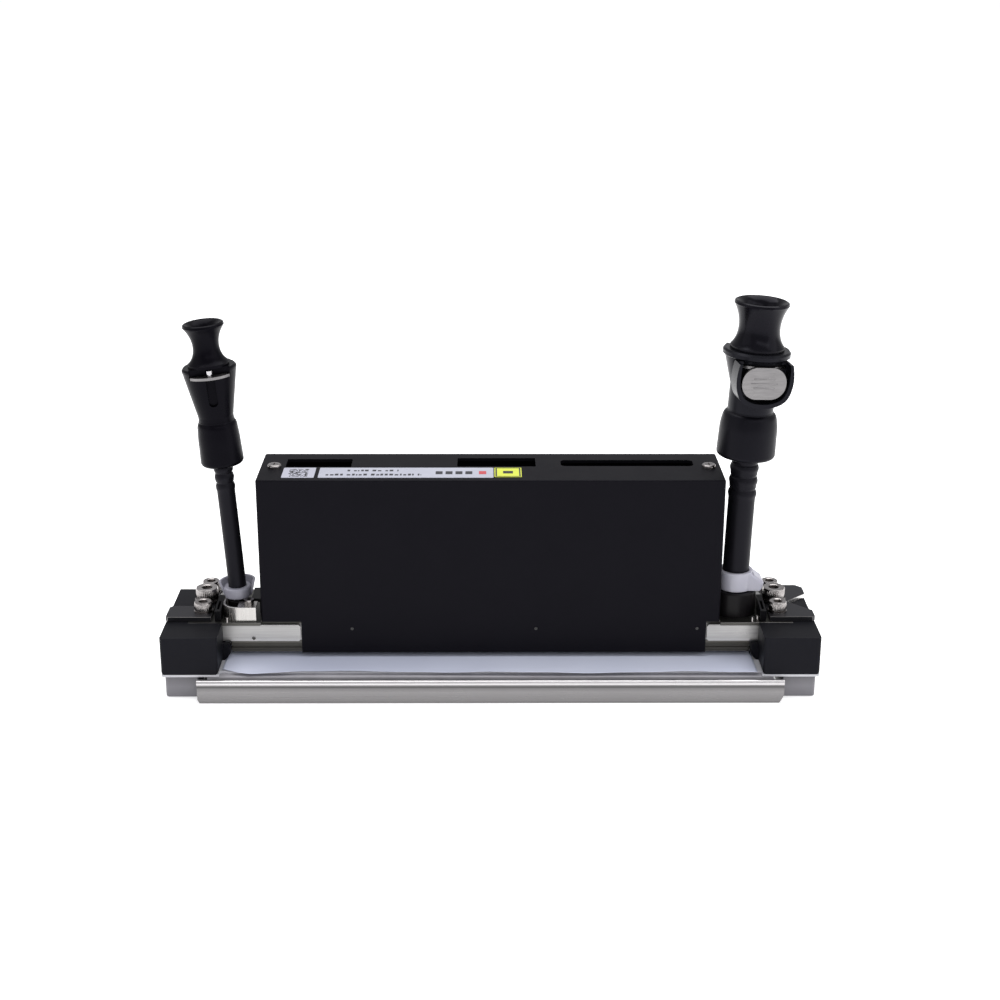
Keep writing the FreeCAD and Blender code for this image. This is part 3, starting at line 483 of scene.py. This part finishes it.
brokenEdges = {
    "top_cover": {"width": 0.16, "edge": "wornBlack", "segments": 2},
    "end_block_left": {"width": 0.30, "edge": None, "segments": 3},
    "end_block_right": {"width": 0.30, "edge": None, "segments": 3},
    "ear_plate_left": {"width": 0.14, "edge": "wornEar", "segments": 2},
    "ear_plate_right": {"width": 0.14, "edge": "wornEar", "segments": 2},
    "head_frame": {"width": 0.18, "edge": "cutEdge", "segments": 2},
    "head_flange": {"width": 0.15, "edge": "wornEar", "segments": 2},
    "base_plate": {"width": 0.15, "edge": None, "segments": 2},
    "plinth_left": {"width": 0.35, "edge": None, "segments": 3},
    "plinth_right": {"width": 0.35, "edge": None, "segments": 3},
    "fitting_guard_left": {"width": 0.12, "edge": "cutEdge", "segments": 2},
    "fitting_tab_left": {"width": 0.2, "edge": None, "segments": 2},
    "fitting_bracket_left": {"width": 0.2, "edge": None, "segments": 2},
    "fitting_bracket_right": {"width": 0.2, "edge": None, "segments": 2},
    "heat_spreader": {"width": 0.2, "edge": None, "segments": 2},
    "tray_pad": {"width": 0.4, "edge": None, "segments": 3},
}
weld, flatAngle, edgeAngle = 2e-6, 0.6, 40  # metres, then degrees
nodeRows = {part["node"]: part for part in frame["record"]["subparts"]}


def breakEdges(node, setup):
    source = cadNodes[node]
    slot = nodeRows[node]["material_slot"]
    bm = bmesh.new()
    bm.from_mesh(source.data)
    bmesh.ops.remove_doubles(bm, verts=bm.verts, dist=weld)
    bmesh.ops.dissolve_limit(bm, angle_limit=math.radians(flatAngle), verts=bm.verts, edges=bm.edges)
    finishList = [finishes[slot]]
    if setup["edge"]:
        finishList.append(extraFinishes[setup["edge"]])
    piece = addPiece(node + "_made", bm, finishList, nodeRows[node].get("body", "head"), 30)
    bevel = piece.modifiers.new("brokenEdge", "BEVEL")
    bevel.width = setup["width"] * mm
    bevel.segments = setup["segments"]
    bevel.limit_method = "ANGLE"
    bevel.angle_limit = math.radians(edgeAngle)
    bevel.harden_normals = True
    bevel.use_clamp_overlap = True
    if setup["edge"]:
        bevel.material = 1
    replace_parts(piece, node)
    return piece


madePieces = {node: breakEdges(node, setup) for node, setup in brokenEdges.items()}


veeZone = {"x": (92, 99.6), "y": (-7, 5.5), "upright": 0.3}


def brightenVee(piece):
    # the datum faces of the V are left as bare metal
    mesh = piece.data
    mesh.materials.append(extraFinishes["cutEdge"])
    bare = len(mesh.materials) - 1
    for face in mesh.polygons:
        middle = face.center / mm
        inside = veeZone["x"][0] < middle.x < veeZone["x"][1] and veeZone["y"][0] < middle.y < veeZone["y"][1]
        if inside and abs(face.normal.z) < veeZone["upright"]:
            face.material_index = bare


brightenVee(madePieces["ear_plate_right"])
print("edges ready")


# socket screws with knurled heads

earScrews = {
    "small": {"radius": 2.75, "height": 3.0, "seat": 22.4, "key": 2.5, "shank": 1.5,
              "places": [(x, y) for x in (-88.9, 88.9) for y in (-8.5, 8.5)]},
    "large": {"radius": 3.5, "height": 4.0, "seat": 22.6, "key": 3.0, "shank": 2.0,
              "places": [(-88.9, 0), (88.9, 0)]},
    "samples": 144, "teeth": 36, "knurl": 0.10,
}


def screwRing(bm, x, y, z, radiusAt):
    count = earScrews["samples"]
    ring = []
    for k in range(count):
        angle = 2 * math.pi * k / count
        radius = radiusAt(k, angle) * mm
        offset = Vector((math.cos(angle), math.sin(angle), 0)) * radius
        ring.append(bm.verts.new(Vector((x, y, z)) * mm + offset))
    return ring


def knurledScrew(bm, x, y, size):
    top = size["seat"] + size["height"]
    radius, key = size["radius"], size["key"] / 2
    perTooth = earScrews["samples"] // earScrews["teeth"]

    def plainRound(r):
        return lambda k, angle: r

    def knurled(k, angle):
        return radius - (earScrews["knurl"] if k % perTooth in (0, 1) else 0)

    def hexed(k, angle):
        sector = (angle % (math.pi / 3)) - math.pi / 6
        return key / math.cos(sector)

    # height and outline of each ring, from the screw's point up over the head and down into the key
    plan = [
        (11.5, plainRound(size["shank"] - 0.2)), (11.8, plainRound(size["shank"])),
        (size["seat"], plainRound(size["shank"])),
        (size["seat"], plainRound(radius - 0.35)), (size["seat"] + 0.25, plainRound(radius - 0.08)),
        (size["seat"] + 0.35, knurled), (top - 0.75, knurled), (top - 0.62, plainRound(radius - 0.1)),
        (top - 0.28, plainRound(radius - 0.12)), (top - 0.08, plainRound(radius - 0.25)),
        (top, plainRound(radius - 0.5)),
        (top, plainRound(key * 1.32)), (top - 0.12, plainRound(key * 1.17)), (top - 0.2, hexed),
        (top - size["height"] * 0.5, hexed), (top - size["height"] * 0.5 - 0.3, plainRound(0.3)),
    ]
    rings = [screwRing(bm, x, y, z, shape) for z, shape in plan]
    count = earScrews["samples"]
    for low, high in zip(rings, rings[1:]):
        for k in range(count):
            bm.faces.new((low[k - 1], low[k], high[k], high[k - 1]))
    bm.faces.new(rings[0])
    bm.faces.new(rings[-1])


for size in ("small", "large"):
    node = "ear_screws_" + size
    bm = bmesh.new()
    for x, y in earScrews[size]["places"]:
        knurledScrew(bm, x, y, earScrews[size])
    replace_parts(addPiece(node + "_made", bm, [finishes["screw_steel"]], "head", 38), node)
print("screws ready")


# the film over the nozzles: thin, with a free front edge that lies in slow waves

filmSheet = {
    "left": -81.7, "right": 81.0, "rear": 12.0, "rest": 8.52, "thick": 0.10, "columns": 260, "rows": 40,
    "crowding": 1.6, "freeDepth": 5.5, "lift": 0.30,
    "waves": [(0.115, 0.6, 0.17), (0.31, 1.9, 0.08)],  # radians per mm, start, height
    "edge": [(-81.7, -22.6), (-79.5, -23.6), (-76.4, -24.9), (-73.1, -25.6), (-65.6, -25.1), (-56, -24.3),
             (-34, -24.4), (-8, -24.9), (22, -25.5), (52, -24.9), (81.0, -25.2)],
}


def edgeAt(points, x):
    for (x0, y0), (x1, y1) in zip(points, points[1:]):
        if x <= x1:
            share = (x - x0) / (x1 - x0)
            share = share * share * (3 - 2 * share)
            return y0 + (y1 - y0) * share
    return points[-1][1]


def makeFilm():
    setup = filmSheet
    bm = bmesh.new()
    grid = []
    for i in range(setup["columns"] + 1):
        x = setup["left"] + (setup["right"] - setup["left"]) * i / setup["columns"]
        front = edgeAt(setup["edge"], x)
        column = []
        for j in range(setup["rows"] + 1):
            share = (j / setup["rows"]) ** setup["crowding"]
            y = front + (setup["rear"] - front) * share
            free = math.exp(-((y - front) / setup["freeDepth"]) ** 2)
            waves = sum(math.sin(x * pace + start) * height for pace, start, height in setup["waves"])
            z = setup["rest"] + free * (setup["lift"] + waves)
            column.append(bm.verts.new((x * mm, y * mm, z * mm)))
        grid.append(column)
    for a, b in zip(grid, grid[1:]):
        for j in range(setup["rows"]):
            bm.faces.new((a[j], b[j], b[j + 1], a[j + 1]))
    film = addPiece("filmSheet", bm, [finishes["film"]], "head", 60)
    solid = film.modifiers.new("thickness", "SOLIDIFY")
    solid.thickness = setup["thick"] * mm
    solid.offset = 0
    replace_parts(film, "protective_film")


makeFilm()
print("film ready")


# labels: plain stickers with generic marks and no lettering

labels = {
    "top_label": {"slot": "label_silver", "box": (-52.0, 0.8, -10.9, -1.4)},
    "code_label": {"slot": "label_white", "box": (-63.0, -53.2, -10.9, -1.4)},
    "yellow_label": {"slot": "label_yellow", "box": (1.1, 9.3, -10.2, -1.4)},
}
labelTop = 66.2


def stickerCorners(x0, x1, y0, y1, radius):
    corners = []
    for cx, cy, start in ((x1 - radius, y1 - radius, 0), (x0 + radius, y1 - radius, 90),
                          (x0 + radius, y0 + radius, 180), (x1 - radius, y0 + radius, 270)):
        for step in range(5):
            angle = math.radians(start + 22.5 * step)
            corners.append((cx + radius * math.cos(angle), cy + radius * math.sin(angle)))
    return corners


def addPrism(bm, corners, z0, z1, index=0):
    low = [bm.verts.new((x * mm, y * mm, z0 * mm)) for x, y in corners]
    high = [bm.verts.new((x * mm, y * mm, z1 * mm)) for x, y in corners]
    made = [bm.faces.new(list(reversed(low))), bm.faces.new(high)]
    for k in range(len(corners)):
        made.append(bm.faces.new((low[k - 1], low[k], high[k], high[k - 1])))
    for face in made:
        face.material_index = index


def addBar(bm, x0, x1, y0, y1, index):
    addPrism(bm, [(x0, y0), (x1, y0), (x1, y1), (x0, y1)], labelTop + 0.115, labelTop + 0.13, index)


def codeMarks(bm, x0, x1, y0, y1):
    # a loose field of small squares that encodes nothing
    dice = random.Random(5)
    step = 0.42
    columns, rows = int((x1 - x0) / step), int((y1 - y0) / step)
    for i in range(columns):
        run = 0
        for j in range(rows + 1):
            if j < rows and dice.random() < 0.52:
                run += 1
            elif run:
                addBar(bm, x0 + i * step, x0 + (i + 1) * step - 0.02, y0 + (j - run) * step, y0 + j * step, 1)
                run = 0


def dashMarks(bm, x0, x1, y, height, seed):
    dice = random.Random(seed)
    x = x0
    while x < x1:
        width = dice.choice((0.5, 0.8, 0.9, 1.1))
        addBar(bm, x, min(x + width, x1), y, y + height * dice.choice((0.7, 1.0)), 1)
        x += width + dice.choice((0.35, 0.5, 0.5, 1.2))


def makeLabels():
    for node, setup in labels.items():
        x0, x1, y0, y1 = setup["box"]
        bm = bmesh.new()
        addPrism(bm, stickerCorners(x0, x1, y0, y1, 0.35), labelTop + 0.005, labelTop + 0.115)
        if node == "code_label":
            codeMarks(bm, x0 + 1.9, x1 - 1.7, y0 + 1.0, y1 - 1.2)
        elif node == "top_label":
            dashMarks(bm, x0 + 2.2, x0 + 31.0, y0 + 2.0, 1.7, 3)
            dashMarks(bm, x0 + 8.5, x0 + 24.0, y0 + 6.0, 1.5, 8)
            for i in range(4):
                addBar(bm, x1 - 17.5 + 3.0 * i, x1 - 15.4 + 3.0 * i, y0 + 3.2, y0 + 6.0, 1)
            addBar(bm, x1 - 4.4, x1 - 2.2, y0 + 3.2, y0 + 6.2, 2)
        else:
            for bar in ((x0 + 0.3, x1 - 0.3, y0 + 0.3, y0 + 0.7), (x0 + 0.3, x1 - 0.3, y1 - 0.7, y1 - 0.3),
                        (x0 + 0.3, x0 + 0.75, y0 + 0.7, y1 - 0.7), (x1 - 0.75, x1 - 0.3, y0 + 0.7, y1 - 0.7),
                        (x0 + 2.6, x1 - 2.6, y0 + 3.2, y1 - 3.2)):
                addBar(bm, *bar, 1)
        inks = [finishes[setup["slot"]], extraFinishes["inkBlack"], extraFinishes["inkRed"]]
        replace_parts(addPiece(node + "_made", bm, inks, "head", 0), node)


makeLabels()
print("labels ready")


# contact rows inside the sockets, seen through the slots

contactRows = {
    "slots": [(-62.8, -42.7, -0.4, 7.5), (-10.3, 13.8, 0.1, 8.5), (21.5, 62.3, 0.5, 6.5)],
    "pitch": 0.8, "width": 0.34, "low": 47.05, "high": 56.0, "inset": 2.2, "raise": 0.1, "thick": 0.35,
    "rows": ((-2.25, 1), (2.05, -1)),  # distance from the socket's middle, and the way the contacts face
}


def makeContacts():
    setup = contactRows
    bm = bmesh.new()
    for x0, x1, y0, y1 in setup["slots"]:
        middle = (y0 + y1) / 2 + setup["raise"]
        x = x0 + setup["inset"]
        while x < x1 - setup["inset"]:
            for row, lean in setup["rows"]:
                ya, yb = sorted((middle + row, middle + row + setup["thick"] * lean))
                corners = [(x, ya), (x + setup["width"], ya), (x + setup["width"], yb), (x, yb)]
                addPrism(bm, corners, setup["low"], setup["high"])
            x += setup["pitch"]
    addPiece("contact_rows", bm, [extraFinishes["gold"]], "head", 0)


makeContacts()
print("contacts ready")


# studio

studio = {
    "floor": {"half": 6, "drop": 0.0002, "grain": 300, "rough": 0.9, "glow": 0.54,
              "dark": (0.90, 0.90, 0.90), "light": (0.92, 0.92, 0.92)},
    "world": {"colour": (0.97, 0.97, 1.0, 1), "strength": 0.55},
    "lamps": {
        "topLamp": {"place": (0, 0.15, 1.1), "aim": (0, 0, 0.03), "size": (1.4, 1.0), "power": 13},
        "frontLamp": {"place": (0.5, -1.3, 0.85), "aim": (0, 0, 0.03), "size": (1.8, 0.35), "power": 3.0},
        "leftLamp": {"place": (-0.95, -0.35, 0.45), "aim": (0, 0, 0.06), "size": (0.9, 0.9), "power": 1.2},
        "rightLamp": {"place": (0.95, -0.35, 0.45), "aim": (0, 0, 0.06), "size": (0.9, 0.9), "power": 2.5},
    },
}


def addLamp(name, place, aim, size, power):
    data = bpy.data.lights.new(name, "AREA")
    data.shape = "RECTANGLE"
    data.size, data.size_y = size
    data.energy = power
    lamp = bpy.data.objects.new(name, data)
    lamp.location = place
    lamp.rotation_euler = (Vector(aim) - Vector(place)).to_track_quat("-Z", "Y").to_euler()
    scene.collection.objects.link(lamp)


def makeStudio():
    paper, sky = studio["floor"], studio["world"]
    bm = bmesh.new()
    bmesh.ops.create_grid(bm, x_segments=1, y_segments=1, size=paper["half"])
    mesh = bpy.data.meshes.new("floor")
    bm.to_mesh(mesh)
    floor = bpy.data.objects.new("floor", mesh)
    floor.location.z = -paper["drop"]
    scene.collection.objects.link(floor)
    finish, tree, shader = newFinish("floorPaper")
    grain = stretchedNoise(tree, paper["grain"], 3)
    tree.links.new(blendColours(tree, grain, paper["dark"], paper["light"]), shader.inputs["Base Color"])
    setInputs(shader, Roughness=paper["rough"], Specular_IOR_Level=0.1, Emission_Color=(1, 1, 1, 1),
              Emission_Strength=paper["glow"])
    mesh.materials.append(finish)
    world = bpy.data.worlds.new("studio")
    world.use_nodes = True
    setInputs(world.node_tree.nodes["Background"], Color=sky["colour"], Strength=sky["strength"])
    scene.world = world
    for name, lamp in studio["lamps"].items():
        addLamp(name, **lamp)
    scene.view_settings.view_transform = "Standard"


makeStudio()
print("studio ready")
